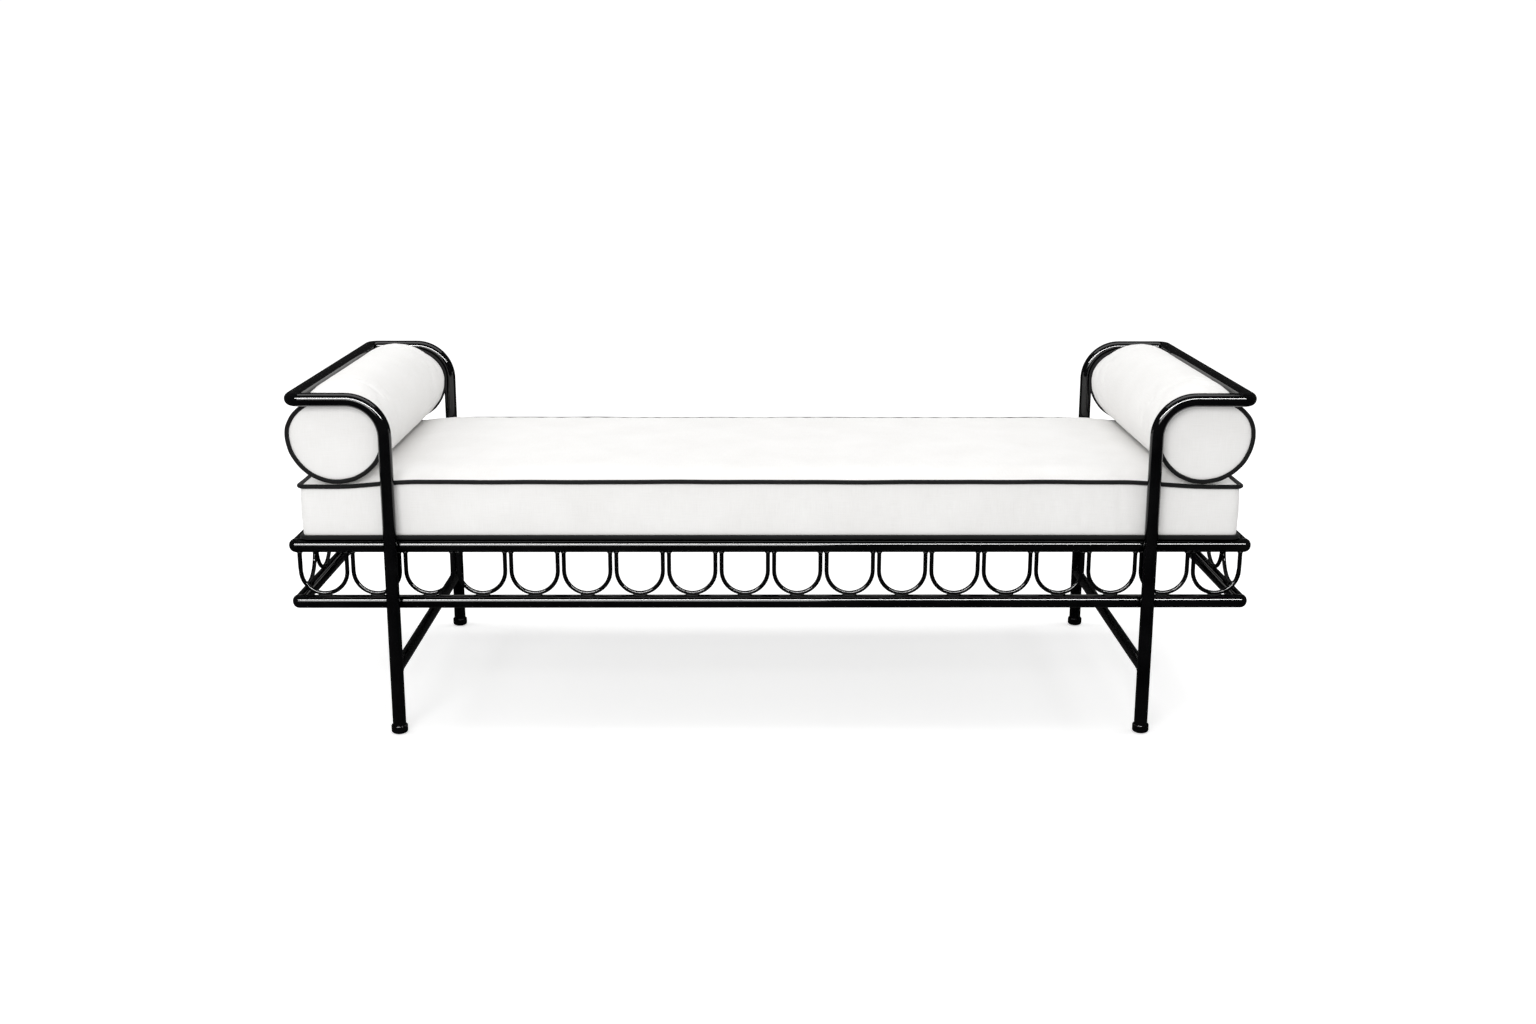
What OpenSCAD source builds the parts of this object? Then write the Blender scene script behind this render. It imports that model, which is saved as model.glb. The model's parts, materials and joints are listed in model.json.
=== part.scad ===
// Daybed: welded steel tube frame, box mattress and two loose bolsters.
// X runs along the bed, -Y is the front, Z is up. The origin is on the floor, under the middle.

/* [Frame] */
// Length of the rail frames, outside to outside
rail_length = 1822; // [1500:1:2200]
// Distance between the axes of the left and right legs
leg_spacing = 1430; // [1150:1:1750]
// Distance between the axes of the front and back legs
leg_depth = 688; // [560:1:860]
// Height of the arm tube's axis above the floor
arm_height = 650; // [600:1:800]
// Distance that the arm tube stands outside the leg axes
arm_reach = 172; // [130:1:240]
// Height of the lower rail's axis above the floor
lower_rail_height = 256; // [200:1:320]
// Clear height between the lower and the upper rail, filled by the scallops
scallop_height = 84.6; // [78:0.1:110]
// Height of the stretcher's axis above the floor
stretcher_height = 127; // [90:1:170]

/* [Tubes] */
// Outside diameter of the legs, arms and long rails
tube_d = 25.4; // [20:0.1:32]
// Amount by which the short rails are thinner than the long rails they are coped to
end_rail_step = 0.2; // [0.1:0.1:2]
// Outside diameter of the stretchers
stretcher_d = 22; // [16:0.1:28]
// Wall thickness of every tube
tube_wall = 1.6; // [1:0.1:2.5]
// Centre-line radius of the large bend at the top of each leg
bend_r = 70; // [40:1:90]
// Centre-line radius of the tight bends at the arm's corners
corner_r = 18; // [17:1:30]
// Radius of the vent holes between welded tubes
vent_r = 3; // [2:0.5:5]

/* [Scallops] */
// Diameter of the scallop rod
rod_d = 8; // [5:0.5:10]
// Number of scallops along the front and along the back
long_scallops = 18; // [16:1:22]
// Number of scallops along each end
end_scallops = 5; // [5:1:8]
// Gap between neighbouring scallops
scallop_gap = 3.8; // [2:0.1:8]
// Depth that the weld sinks each scallop into the lower rail
weld_sink = 0.4; // [0.2:0.1:1]

/* [Welds] */
// Outside radius of the weld where a rail crosses a leg
weld_r = 8; // [5:0.5:10]
// Radius of the unfused middle of that weld
weld_core_r = 2.5; // [2:0.5:4]

/* [Feet] */
// Wall of the foot cap round the tube
foot_wall = 3; // [2:0.1:5]
// Height of the foot cap
foot_h = 16; // [12:1:30]
// Radius of the foot cap's rounded lower edge
foot_round = 4.5; // [3:0.5:5]
// Radius of the foot cap's rounded shoulder
foot_shoulder = 2.3; // [1:0.1:4]
// Thickness of the foot cap under the tube
foot_floor = 5; // [4:0.5:8]
// Clearance between the foot cap and the tube inside it
foot_fit = 0.1; // [0.05:0.05:0.3]
// Margin between the nylon glide and the foot cap's side
glide_margin = 5.5; // [5:0.5:9]
// Thickness of the nylon glide
glide_h = 3; // [2:0.5:4]
// Height that the glide stands below the cap
glide_proud = 1; // [0.5:0.5:2]

/* [Deck] */
// Number of steel slats under the mattress
slat_count = 13; // [7:1:17]
// Width of a slat
slat_w = 35; // [20:1:60]
// Thickness of a slat
slat_t = 4; // [3:0.5:6]
// Depth of the slats' top below the top of the upper rail
slat_drop = 2; // [1:0.5:4]
// Width and height of the square spine under the slats
spine_w = 16; // [12:1:20]

/* [Mattress] */
// Thickness of the mattress between its outer faces
mattress_t = 115; // [80:1:140]
// Distance from the rail's outside to the mattress's end, piping included
mattress_end_inset = 19.5; // [10:0.5:60]
// Gap between the mattress's piping and the legs
mattress_leg_gap = 3.3; // [1:0.1:10]
// Gap between the top of the upper rail and the underside of the mattress
deck_gap = 0.3; // [0.1:0.1:2]
// Radius of the mattress's upright corners
mattress_corner_r = 14; // [13:1:40]
// Diameter of the piping cord with its cloth
piping_d = 8.5; // [5:0.5:11]
// Distance of the piping's axis in from the faces above and below
piping_drop = 4; // [0:0.5:5]
// Clearance between the piping and the cloth beside it
piping_fit = 0.2; // [0.1:0.1:0.5]
// Thickness of the cover cloth with its seam allowance
cloth_t = 2; // [1:0.5:3]
// Thickness of the polyester wadding under the cloth
wadding_t = 6; // [5:0.5:9]
// Length of the zip in the back of the mattress
mattress_zip_l = 1400; // [800:10:1450]
// Width of a zip's tape
zip_w = 24; // [16:1:34]

/* [Bolsters] */
// Radius of the bolster's cloth surface
bolster_r = 86.5; // [60:0.5:100]
// Gap between the end of the bolster's piping and the inside of the legs
bolster_leg_gap = 6; // [2:0.5:30]
// Depth of the bolster piping's axis below the cloth surface
bolster_piping_drop = 2; // [0:0.5:3]
// Clearance between a bolster and the mattress or the arm tube
bolster_gap = 0.5; // [0.3:0.1:3]
// Clearance between a bolster's round foam core and the wadding, which meet at the ends
foam_fit = 0.2; // [0.1:0.1:1]
// Length of the zip in a bolster
bolster_zip_l = 480; // [300:10:500]
// Direction of the bolster's zip below the horizontal, on the outer side
bolster_zip_angle = 40; // [10:5:60]

/* [Hidden] */
$fn = 64;
CUT = 1;
BLACK = "#151515";
RAW_STEEL = "#3a3b3d";
WHITE = "#f4f3f0";
FOAM = "#e9dfae";
WADDING = "#fbfbfb";
NYLON = "#2a2a2a";

tube_r = tube_d / 2;
end_rail_d = tube_d - end_rail_step;
end_rail_r = end_rail_d / 2;
rod_r = rod_d / 2;
piping_r = piping_d / 2;
leg_x = leg_spacing / 2;
leg_y = leg_depth / 2;
arm_x = leg_x + arm_reach;
rail_x = rail_length / 2 - tube_r;
rail_y = leg_y - tube_d;
upper_rail_height = lower_rail_height + tube_d + scallop_height;
rail_heights = [lower_rail_height, upper_rail_height];
tube_foot = glide_proud + foot_floor;
foot_r = tube_r + foot_wall;
glide_r = foot_r - glide_margin;

mattress_z = upper_rail_height + tube_r + deck_gap;
mattress_top = mattress_z + mattress_t;
cover_x = rail_length / 2 - mattress_end_inset - piping_r;
cover_y = leg_y - tube_r - mattress_leg_gap - piping_r;
top_piping_z = mattress_top - piping_drop;
bottom_piping_z = mattress_z + piping_r;
bore_inset = cloth_t + wadding_t;

bolster_ring_r = bolster_r - bolster_piping_drop;
bolster_out_r = bolster_ring_r + piping_r;
bolster_half = leg_y - tube_r - bolster_leg_gap - piping_r;
bolster_z = top_piping_z + piping_r + bolster_gap + bolster_out_r;
arm_touch = bolster_out_r + tube_r + bolster_gap;
arm_rise = arm_height - bolster_z;
bolster_x = arm_x - sqrt(max(0, arm_touch * arm_touch - arm_rise * arm_rise));

slat_top = upper_rail_height + tube_r - slat_drop;
spine_top = slat_top - slat_t;

// ---------- tubes ----------

// Ring section of a tube
module tube_section(d) {
    difference() {
        circle(d = d);
        circle(d = d - 2 * tube_wall);
    }
}

// Straight tube along +Z
module straight_tube(d, length) {
    linear_extrude(length) tube_section(d);
}

// Quarter bend in the XY plane, from start to start + 90 degrees
module quarter_bend(d, radius, start) {
    rotate([0, 0, start])
        rotate_extrude(angle = 90)
            translate([radius, 0]) tube_section(d);
}

// Solid bar along Y, centred, used to cope tube ends
module bar_y(r, length) {
    rotate([90, 0, 0]) cylinder(r = r, h = length, center = true);
}

// Solid bar along X, centred
module bar_x(r, length) {
    rotate([0, 90, 0]) cylinder(r = r, h = length, center = true);
}

// ---------- end frames ----------

// Leg with its large top bend and the short run outward to the arm's corner, for the +X side
module leg_tube() {
    bend_z = arm_height - bend_r;
    color(BLACK) {
        translate([0, 0, tube_foot]) straight_tube(tube_d, bend_z - tube_foot);
        translate([bend_r, 0, bend_z])
            rotate([90, 0, 0]) quarter_bend(tube_d, bend_r, 90);
        translate([bend_r, 0, arm_height])
            rotate([0, 90, 0]) straight_tube(tube_d, arm_reach - corner_r - bend_r);
    }
}

// Arm tube with its two tight corners, for the +X side
module arm_tube() {
    run = leg_y - corner_r;
    color(BLACK) translate([arm_x - corner_r, 0, arm_height]) {
        translate([0, -run, 0]) quarter_bend(tube_d, corner_r, -90);
        translate([0, run, 0]) quarter_bend(tube_d, corner_r, 0);
        translate([corner_r, run, 0]) rotate([90, 0, 0]) straight_tube(tube_d, 2 * run);
    }
}

// Low tube between the front and the back leg, coped to both
module stretcher() {
    color(BLACK) difference() {
        translate([leg_x, leg_y, stretcher_height])
            rotate([90, 0, 0]) straight_tube(stretcher_d, leg_depth);
        for (y = [-leg_y, leg_y])
            translate([leg_x, y, 0]) cylinder(r = tube_r, h = arm_height);
    }
}

// Half outline of the foot cap: rounded lower edge, straight side, rounded shoulder no wider than
// the wall, and the tube socket
module foot_profile() {
    socket_r = tube_r + foot_fit;
    rim = min(foot_shoulder, foot_r - socket_r);
    difference() {
        union() {
            square([foot_r - foot_round, foot_h]);
            translate([0, foot_round]) square([foot_r, foot_h - foot_round - rim]);
            translate([foot_r - foot_round, foot_round]) circle(r = foot_round);
            translate([0, foot_h - rim]) square([foot_r - rim, rim]);
            translate([foot_r - rim, foot_h - rim]) circle(r = rim);
        }
        translate([-foot_r, -CUT]) square([foot_r, foot_h + 2 * CUT]);
        translate([0, foot_floor]) square([socket_r, foot_h]);
        translate([-CUT, -CUT]) square([CUT + glide_r, CUT + glide_h - glide_proud]);
    }
}

// Foot cap pushed over the end of a leg
module foot_cap() {
    color(BLACK) translate([0, 0, glide_proud]) rotate_extrude() foot_profile();
}

// Nylon glide let into the underside of the foot cap
module glide() {
    color(NYLON) cylinder(r = glide_r, h = glide_h);
}

// Places a piece at a leg: side is 1 for right and -1 for left, back is 1 for back and -1 for front
module at_leg(side, back) {
    translate([side * leg_x, back * leg_y, 0])
        mirror([side < 0 ? 1 : 0, 0, 0]) children();
}

// Puts a piece modelled for the right end at either end
module at_end(side) {
    mirror([side < 0 ? 1 : 0, 0, 0]) children();
}

// ---------- rail frames ----------

// Outline of a long rail: a straight bar with round ends
module rail_outline(r) {
    square([2 * r, 2 * rail_x], center = true);
    for (y = [-rail_x, rail_x]) translate([0, y]) circle(r = r);
}

// Turns the +X half of an outline into a rail along X
module turned_rail() {
    rotate([0, 90, 0]) rotate_extrude() intersection() {
        children();
        translate([0, -rail_length / 2]) square([tube_d, rail_length]);
    }
}

// Long rail, hollow, with vent holes into the bores of the end rails; back is -1 or 1
module long_rail(back, height) {
    color(BLACK) translate([0, back * rail_y, height]) difference() {
        turned_rail() difference() {
            rail_outline(tube_r);
            rail_outline(tube_r - tube_wall);
        }
        for (x = [-rail_x, rail_x])
            translate([x, 0, 0]) rotate([back * 90, 0, 0]) cylinder(r = vent_r, h = tube_d);
    }
}

// Short rail across one end, coped to the ball ends of the long rails
module end_rail(side, height) {
    color(BLACK) translate([side * rail_x, 0, height]) difference() {
        translate([0, rail_y, 0]) rotate([90, 0, 0]) straight_tube(end_rail_d, 2 * rail_y);
        for (y = [-rail_y, rail_y])
            translate([-side * rail_x, y, 0]) turned_rail() rail_outline(tube_r);
    }
}

// U-shaped rod in the XZ plane, its lowest point at the origin, arms up to a height
module scallop(width, height) {
    r = (width - rod_d) / 2;
    translate([0, 0, r + rod_r]) {
        rotate([90, 0, 0]) rotate([0, 0, 180])
            rotate_extrude(angle = 180) translate([r, 0]) circle(r = rod_r);
        for (x = [-r, r])
            translate([x, 0, 0]) cylinder(r = rod_r, h = height - r - rod_r);
    }
}

// Row of scallops along X between two rails of the given radius, cut to seat on both
module scallop_row(span, count, rail_r) {
    pitch = span / count;
    bottom = lower_rail_height + rail_r - weld_sink;
    for (i = [0 : count - 1])
        difference() {
            translate([(i - (count - 1) / 2) * pitch, 0, bottom])
                scallop(pitch - scallop_gap, upper_rail_height - bottom);
            for (z = rail_heights) translate([0, 0, z]) bar_x(rail_r, span + tube_d);
        }
}

// Scallops along the front or the back
module long_scallop_row(back) {
    color(BLACK) translate([0, back * rail_y, 0])
        scallop_row(2 * rail_x, long_scallops, tube_r);
}

// Scallops across one end, between the inner faces of the long rails
module end_scallop_row(side) {
    color(BLACK) translate([side * rail_x, 0, 0]) rotate([0, 0, 90])
        scallop_row(2 * rail_y - tube_d, end_scallops, end_rail_r);
}

// Ring of weld metal at each place where a rail crosses a leg
module leg_welds() {
    color(BLACK)
        for (side = [-1, 1], back = [-1, 1], z = rail_heights)
            difference() {
                translate([side * leg_x, back * (leg_y - tube_r), z]) bar_y(weld_r, tube_r);
                translate([side * leg_x, back * (leg_y - tube_r), z]) bar_y(weld_core_r, tube_d);
                translate([side * leg_x, back * leg_y, 0]) cylinder(r = tube_r, h = arm_height);
                translate([0, back * rail_y, z]) bar_x(tube_r, rail_length);
            }
}

// ---------- deck ----------

// Flat slats from the front to the back upper rail, coped to both
module deck_slats() {
    pitch = 2 * rail_x / slat_count;
    color(RAW_STEEL)
        for (i = [0 : slat_count - 1])
            translate([(i - (slat_count - 1) / 2) * pitch, 0, 0]) difference() {
                translate([-slat_w / 2, -rail_y, slat_top - slat_t])
                    cube([slat_w, 2 * rail_y, slat_t]);
                for (y = [-rail_y, rail_y])
                    translate([0, y, upper_rail_height]) bar_x(tube_r, 2 * slat_w);
            }
}

// Square bar under the slats from one end rail to the other, coped to both
module deck_spine() {
    color(RAW_STEEL) difference() {
        translate([-rail_x, -spine_w / 2, spine_top - spine_w])
            cube([2 * rail_x, spine_w, spine_w]);
        for (x = [-rail_x, rail_x])
            translate([x, 0, upper_rail_height]) bar_y(end_rail_r, 2 * spine_w);
    }
}

// ---------- mattress ----------

// Rectangle of the given half sizes with round corners
module round_rect(half_x, half_y, r) {
    square([2 * (half_x - r), 2 * half_y], center = true);
    square([2 * half_x, 2 * (half_y - r)], center = true);
    for (x = [r - half_x, half_x - r], y = [r - half_y, half_y - r])
        translate([x, y]) circle(r = r);
}

// The mattress's block, taken in on every side
module mattress_block(inset) {
    translate([0, 0, mattress_z + inset])
        linear_extrude(mattress_t - 2 * inset)
            round_rect(cover_x - inset, cover_y - inset, mattress_corner_r - inset);
}

// Closed loop of cord round the mattress at a height
module cord_loop(z, r) {
    corner_x = cover_x - mattress_corner_r;
    corner_y = cover_y - mattress_corner_r;
    translate([0, 0, z]) {
        for (y = [-cover_y, cover_y]) translate([0, y, 0]) bar_x(r, 2 * corner_x);
        for (x = [-cover_x, cover_x]) translate([x, 0, 0]) bar_y(r, 2 * corner_y);
        for (i = [0 : 3]) {
            turn = 90 * i;
            sx = (i == 0 || i == 3) ? 1 : -1;
            sy = (i < 2) ? 1 : -1;
            translate([sx * corner_x, sy * corner_y, 0]) rotate([0, 0, turn])
                rotate_extrude(angle = 90) translate([mattress_corner_r, 0]) circle(r = r);
        }
    }
}

// Both piping channels, with clearance
module mattress_channels() {
    cord_loop(top_piping_z, piping_r + piping_fit);
    cord_loop(bottom_piping_z, piping_r + piping_fit);
}

// Slot through the back of the cover and the wadding, where the zip goes
module mattress_zip_slot(shrink, depth) {
    translate([
        shrink - mattress_zip_l / 2,
        cover_y - depth,
        mattress_z + (mattress_t - zip_w) / 2 + shrink
    ])
        cube([mattress_zip_l - 2 * shrink, depth + CUT, zip_w - 2 * shrink]);
}

// Foam core
module mattress_foam() {
    color(FOAM) mattress_block(bore_inset);
}

// Wadding wrapped round the core, slit along the back
module mattress_wadding() {
    color(WADDING) difference() {
        mattress_block(cloth_t);
        mattress_block(bore_inset);
        mattress_zip_slot(0, bore_inset + CUT);
        mattress_channels();
    }
}

// Cloth panel over or under the mattress
module mattress_panel(z) {
    color(WHITE) difference() {
        translate([0, 0, z]) linear_extrude(cloth_t)
            round_rect(cover_x, cover_y, mattress_corner_r);
        mattress_channels();
    }
}

// Band of cloth round the four sides, open at the back for the zip
module mattress_boxing() {
    height = mattress_t - 2 * cloth_t;
    color(WHITE) difference() {
        translate([0, 0, mattress_z + cloth_t]) linear_extrude(height) difference() {
            round_rect(cover_x, cover_y, mattress_corner_r);
            round_rect(cover_x - cloth_t, cover_y - cloth_t, mattress_corner_r - cloth_t);
        }
        mattress_zip_slot(0, cloth_t + CUT);
        mattress_channels();
    }
}

// Zip tape in the back of the band
module mattress_zip() {
    color(WHITE) intersection() {
        mattress_block(0);
        mattress_zip_slot(piping_fit, cloth_t);
    }
}

// ---------- bolsters ----------

// A bolster's round block along Y, taken in all over
module bolster_block(inset) {
    bar_y(bolster_r - inset, 2 * (bolster_half - inset));
}

// Ring of cord at one end of a bolster
module bolster_ring(back, r) {
    translate([0, back * bolster_half, 0]) rotate([90, 0, 0])
        rotate_extrude() translate([bolster_ring_r, 0]) circle(r = r);
}

// Both piping channels, with clearance
module bolster_channels() {
    for (back = [-1, 1]) bolster_ring(back, piping_r + piping_fit);
}

// Slot along a bolster's low outer side, where the zip goes
module bolster_zip_slot(shrink, depth) {
    rotate([0, bolster_zip_angle, 0])
        translate([
            bolster_r - depth,
            shrink - bolster_zip_l / 2,
            shrink - zip_w / 2
        ])
            cube([depth + CUT, bolster_zip_l - 2 * shrink, zip_w - 2 * shrink]);
}

// Foam core, held between the wadding's ends
module bolster_foam() {
    color(FOAM) bar_y(bolster_r - bore_inset - foam_fit, 2 * (bolster_half - bore_inset));
}

// Wadding wrapped round the core, slit along one side
module bolster_wadding() {
    color(WADDING) difference() {
        bolster_block(cloth_t);
        bolster_block(bore_inset);
        bolster_zip_slot(0, bore_inset + CUT);
        bolster_channels();
    }
}

// Cloth sleeve round the bolster
module bolster_sleeve() {
    color(WHITE) difference() {
        bolster_block(0);
        bar_y(bolster_r - cloth_t, 2 * bolster_half + 2 * CUT);
        bolster_zip_slot(0, cloth_t + CUT);
        bolster_channels();
    }
}

// Round cloth disc closing one end
module bolster_disc(back) {
    color(WHITE) difference() {
        translate([0, back * (bolster_half - cloth_t / 2), 0])
            bar_y(bolster_r - cloth_t, cloth_t);
        bolster_channels();
    }
}

// Zip tape in the sleeve
module bolster_zip() {
    color(WHITE) intersection() {
        difference() {
            bolster_block(0);
            bar_y(bolster_r - cloth_t, 2 * bolster_half);
        }
        bolster_zip_slot(piping_fit, cloth_t + CUT);
    }
}

// Places a bolster's piece, modelled for the right end, at either end
module at_bolster(side) {
    at_end(side) translate([bolster_x, 0, bolster_z]) children();
}

// ---------- nodes ----------

at_leg(-1, -1) leg_tube();  // left_front_leg
at_leg(1, -1) leg_tube();  // right_front_leg
at_leg(-1, 1) leg_tube();  // left_back_leg
at_leg(1, 1) leg_tube();  // right_back_leg
at_end(-1) arm_tube();  // left_arm_tube
at_end(1) arm_tube();  // right_arm_tube
at_end(-1) stretcher();  // left_stretcher
at_end(1) stretcher();  // right_stretcher
at_leg(-1, -1) foot_cap();  // left_front_foot
at_leg(1, -1) foot_cap();  // right_front_foot
at_leg(-1, 1) foot_cap();  // left_back_foot
at_leg(1, 1) foot_cap();  // right_back_foot
at_leg(-1, -1) glide();  // left_front_glide
at_leg(1, -1) glide();  // right_front_glide
at_leg(-1, 1) glide();  // left_back_glide
at_leg(1, 1) glide();  // right_back_glide
long_rail(-1, lower_rail_height);  // lower_front_rail
long_rail(1, lower_rail_height);  // lower_back_rail
end_rail(-1, lower_rail_height);  // lower_left_rail
end_rail(1, lower_rail_height);  // lower_right_rail
long_rail(-1, upper_rail_height);  // upper_front_rail
long_rail(1, upper_rail_height);  // upper_back_rail
end_rail(-1, upper_rail_height);  // upper_left_rail
end_rail(1, upper_rail_height);  // upper_right_rail
long_scallop_row(-1);  // front_scallops
long_scallop_row(1);  // back_scallops
end_scallop_row(-1);  // left_scallops
end_scallop_row(1);  // right_scallops
leg_welds();
deck_slats();
deck_spine();
mattress_foam();
mattress_wadding();
mattress_panel(mattress_top - cloth_t);  // mattress_top_panel
mattress_boxing();
mattress_panel(mattress_z);  // mattress_bottom_panel
color(BLACK) cord_loop(top_piping_z, piping_r);  // mattress_top_piping
color(BLACK) cord_loop(bottom_piping_z, piping_r);  // mattress_bottom_piping
mattress_zip();
at_bolster(-1) bolster_foam();  // left_bolster_foam
at_bolster(-1) bolster_wadding();  // left_bolster_wadding
at_bolster(-1) bolster_sleeve();  // left_bolster_sleeve
at_bolster(-1) bolster_disc(-1);  // left_bolster_front_disc
at_bolster(-1) bolster_disc(1);  // left_bolster_back_disc
at_bolster(-1) color(BLACK) bolster_ring(-1, piping_r);  // left_bolster_front_piping
at_bolster(-1) color(BLACK) bolster_ring(1, piping_r);  // left_bolster_back_piping
at_bolster(-1) bolster_zip();  // left_bolster_zip
at_bolster(1) bolster_foam();  // right_bolster_foam
at_bolster(1) bolster_wadding();  // right_bolster_wadding
at_bolster(1) bolster_sleeve();  // right_bolster_sleeve
at_bolster(1) bolster_disc(-1);  // right_bolster_front_disc
at_bolster(1) bolster_disc(1);  // right_bolster_back_disc
at_bolster(1) color(BLACK) bolster_ring(-1, piping_r);  // right_bolster_front_piping
at_bolster(1) color(BLACK) bolster_ring(1, piping_r);  // right_bolster_back_piping
at_bolster(1) bolster_zip();  // right_bolster_zip
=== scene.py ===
"""Looks of a daybed: welded black tube frame, piped box mattress and two loose bolsters. Metres."""

import json
import math

import bpy
import numpy as np
from mathutils import Matrix, Vector
from mathutils.bvhtree import BVHTree


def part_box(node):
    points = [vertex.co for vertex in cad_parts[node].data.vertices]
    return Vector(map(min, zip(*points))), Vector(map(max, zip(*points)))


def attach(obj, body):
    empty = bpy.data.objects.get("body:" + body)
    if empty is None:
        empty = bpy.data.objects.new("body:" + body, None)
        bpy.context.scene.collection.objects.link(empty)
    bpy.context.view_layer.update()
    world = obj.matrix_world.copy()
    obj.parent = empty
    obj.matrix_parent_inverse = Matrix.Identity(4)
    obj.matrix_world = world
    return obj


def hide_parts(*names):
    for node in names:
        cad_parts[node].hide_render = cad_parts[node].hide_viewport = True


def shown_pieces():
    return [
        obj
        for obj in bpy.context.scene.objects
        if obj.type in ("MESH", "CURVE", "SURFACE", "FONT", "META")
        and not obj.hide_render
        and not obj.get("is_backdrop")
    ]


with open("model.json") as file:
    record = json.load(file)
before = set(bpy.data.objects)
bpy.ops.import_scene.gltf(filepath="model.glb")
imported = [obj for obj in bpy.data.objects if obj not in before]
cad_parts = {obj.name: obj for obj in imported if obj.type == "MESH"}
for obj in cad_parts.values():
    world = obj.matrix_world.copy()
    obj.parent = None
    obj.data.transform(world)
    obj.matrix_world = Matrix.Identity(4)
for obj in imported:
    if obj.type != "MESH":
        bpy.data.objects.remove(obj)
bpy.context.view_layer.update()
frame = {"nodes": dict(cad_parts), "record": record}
SCENE = bpy.context.scene
UP = np.array((0.0, 0.0, 1.0))


# ---------- sizes read from the frame ----------

def middle(node):
    """Middle of a CAD node's box."""
    low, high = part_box(node)
    return (low + high) / 2


def extent(node):
    """Size of a CAD node's box."""
    low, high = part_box(node)
    return high - low


RAIL_R = extent("upper_front_rail").z / 2
RAIL_X = extent("upper_front_rail").x / 2 - RAIL_R
RAIL_Y = -middle("upper_front_rail").y
END_RAIL_R = extent("upper_left_rail").z / 2
UPPER_Z = middle("upper_front_rail").z
LOWER_Z = middle("lower_front_rail").z
LEG_X = middle("right_front_foot").x
LEG_Y = -middle("right_front_foot").y
ARM_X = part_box("right_arm_tube")[1].x - RAIL_R
ARM_Z = middle("right_arm_tube").z
STRETCHER_R = extent("left_stretcher").z / 2
STRETCHER_Z = middle("left_stretcher").z
SLAT_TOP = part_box("deck_slats")[1].z
SLAT_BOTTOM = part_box("deck_slats")[0].z
CORD_R = extent("mattress_top_piping").z / 2
SEAM_X = extent("mattress_top_piping").x / 2 - CORD_R
SEAM_Y = extent("mattress_top_piping").y / 2 - CORD_R
TOP_Z = middle("mattress_top_piping").z
BOTTOM_Z = middle("mattress_bottom_piping").z
MATTRESS_ZIP = extent("mattress_zip").x
MATTRESS_ZIP_Z = middle("mattress_zip").z
BOLSTER_ZIP = extent("right_bolster_zip").y
RING_Y = -middle("right_bolster_front_piping").y

# ---------- sizes of the looks ----------

# mattress: corners, where its panels stop inside the piping, and how it is filled
CORNER_R = 0.014
SEAM_INSET = 0.0022
CROWN = 0.012
BOTTOM_SWELL = 0.0042
BAND_BULGE = 0.0015
SIDE_PULL = 0.0012
SEAM_WAVE = 0.0006
# how far its ends sink under the bolsters, and where that starts and stops along X
END_SAG = 0.0088
SAG_START, SAG_END = 0.66, 0.82

# bolsters: the zip's angle below level, the crest's slump at the ends, and puckers at the seams
BOLSTER_R = 0.0935
BOLSTER_X = middle("right_bolster_front_piping").x + 0.0018
BOLSTER_Z = middle("right_bolster_front_piping").z - 0.0035
RING_R = BOLSTER_R - CORD_R
SLEEVE_SEAM_R = RING_R - 0.0006
DOME = 0.003
SLEEVE_SWELL = 0.0022
CORD_PROUD = 1.005
END_SLUMP = 0.22
SLUMP_REACH = 0.045
PUCKER = 0.0007
PUCKER_REACH = 0.014
ZIP_TILT = math.radians(40)
TOUCHING = 0.0006

# zips: half widths of the tape and of the slot between the welts, stitches, coil and slider
TAPE_HALF = 0.012
SLOT_HALF, WELT_END = 0.0016, 0.0125
WELT_SPARE = 0.003
STITCH_ROW, STITCH_PITCH = 0.0075, 0.0034
COIL_PITCH = 0.0014
SLIDER_INSET = 0.016

# rods and welds
ROD_R = 0.004
SCALLOP_GAP = 0.0038
LONG_ROW, SHORT_ROW = 18, 5
WELD_REACH = 0.0135
BEAD_SIDES = 8
CROSSING_RING = 0.0088
SLATS = 13
SLAT_BEAD = 0.0155
SPINE_HALF, SPINE_BEAD = 0.008, 0.010

# studio: floor glow near and far, what the floor gives back to cloth and to paint, the same for
# the surround, and the tone that counts as black
# the near glow is lower than the far one: painted shade on the floor under and round the daybed
FLOOR_GLOW = (0.44, 0.69)
FLOOR_BOUNCE = 0.80
FLOOR_MIRRORED = 0.03
SURROUND = 0.48
SURROUND_MIRRORED = 0.03
STRIP_POWER = 190
BLACK_LEVEL = 0.0025


# ---------- meshes ----------

def make(name, points, faces, material, body, smooth=True):
    """A new piece from points and faces, riding on a CAD body."""
    mesh = bpy.data.meshes.new(name)
    mesh.from_pydata([tuple(p) for p in points], [], [tuple(f) for f in faces])
    mesh.update()
    if smooth:
        mesh.shade_smooth()
    mesh.materials.append(material)
    piece = bpy.data.objects.new(name, mesh)
    SCENE.collection.objects.link(piece)
    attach(piece, body)
    return piece


def thread_map(piece, values):
    """Stores where each face corner lies on the flat cloth, in metres, for the weave."""
    attribute = piece.data.attributes.new("thread", "FLOAT_VECTOR", "CORNER")
    attribute.data.foreach_set("vector", np.asarray(values, np.float32).ravel())


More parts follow.
